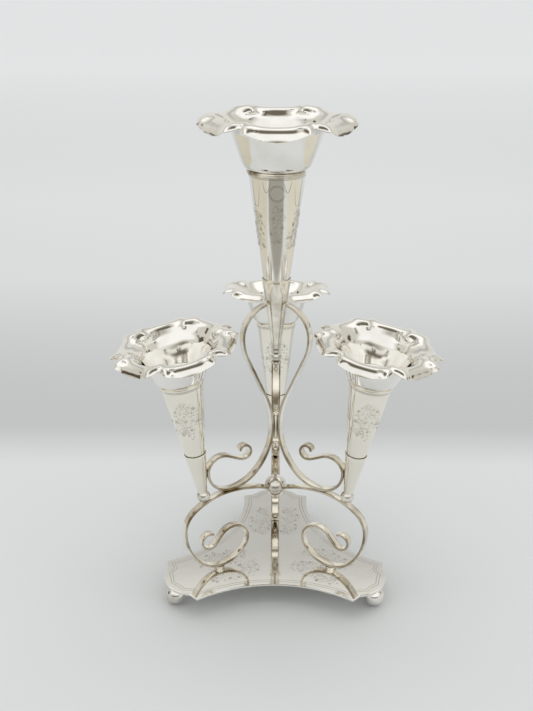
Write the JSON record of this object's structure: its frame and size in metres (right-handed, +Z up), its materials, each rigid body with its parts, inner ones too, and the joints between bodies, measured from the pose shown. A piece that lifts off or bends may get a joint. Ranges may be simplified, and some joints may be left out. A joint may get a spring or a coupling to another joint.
{
  "type": "epergne",
  "caption": "Table epergne: a lobed plate on ball feet, scrolled strip legs and arms, and trumpet vases with petalled rolled lips that lift out of tapered sockets.",
  "frame": {"origin": "on the upright axis through the hub ball and the centre vase, in the plane that the ball feet stand on", "axes": "+Z up along the centre vase, +Y towards the rear branch, +X to the right as seen from the front"},
  "size_m": [0.262, 0.2414, 0.416],
  "materials": {
    "plate_silver": "mirror-polished silver plate with engraved borders and sprays",
    "frame_silver": "polished silver plate on drawn strip",
    "turned_silver": "bright turned silver plate",
    "engraved_silver": "polished silver plate engraved with floral sprays and a toothed border",
    "bowl_silver": "bright raised silver plate"
  },
  "bodies": {
    "frame": {"base_plate": "plate_silver", "foot_rear": "turned_silver", "foot_left": "turned_silver", "foot_right": "turned_silver", "leg_boss_rear": "turned_silver", "leg_boss_left": "turned_silver", "leg_boss_right": "turned_silver", "leg_nuts": "turned_silver", "leg_rear": "frame_silver", "leg_left": "frame_silver", "leg_right": "frame_silver", "hub_ball": "turned_silver", "arm_rear": "frame_silver", "arm_left": "frame_silver", "arm_right": "frame_silver", "waist_pin": "turned_silver", "socket_ball_rear": "turned_silver", "socket_ball_left": "turned_silver", "socket_ball_right": "turned_silver", "socket_rivets": "turned_silver", "side_socket_rear": "frame_silver", "side_socket_left": "frame_silver", "side_socket_right": "frame_silver", "centre_socket": "frame_silver", "finial": "turned_silver"},
    "rear_vase": {"vase_cone_rear": "engraved_silver", "collar_rear": "engraved_silver", "bowl_rear": "bowl_silver"},
    "left_vase": {"vase_cone_left": "engraved_silver", "collar_left": "engraved_silver", "bowl_left": "bowl_silver"},
    "right_vase": {"vase_cone_right": "engraved_silver", "collar_right": "engraved_silver", "bowl_right": "bowl_silver"},
    "centre_vase": {"vase_cone_centre": "engraved_silver", "collar_centre": "engraved_silver", "bowl_centre": "bowl_silver"}
  },
  "joints": [
    {"name": "centre_vase_lift", "type": "slide", "parent": "frame", "child": "centre_vase", "axis": [0, 0, 1], "range_m": [0, 0.06]},
    {"name": "rear_vase_lift", "type": "slide", "parent": "frame", "child": "rear_vase", "axis": [0, 0.1513, 0.9885], "range_m": [0, 0.04]},
    {"name": "left_vase_lift", "type": "slide", "parent": "frame", "child": "left_vase", "axis": [-0.131, -0.0756, 0.9885], "range_m": [0, 0.04]},
    {"name": "right_vase_lift", "type": "slide", "parent": "frame", "child": "right_vase", "axis": [0.131, -0.0756, 0.9885], "range_m": [0, 0.04]}
  ]
}
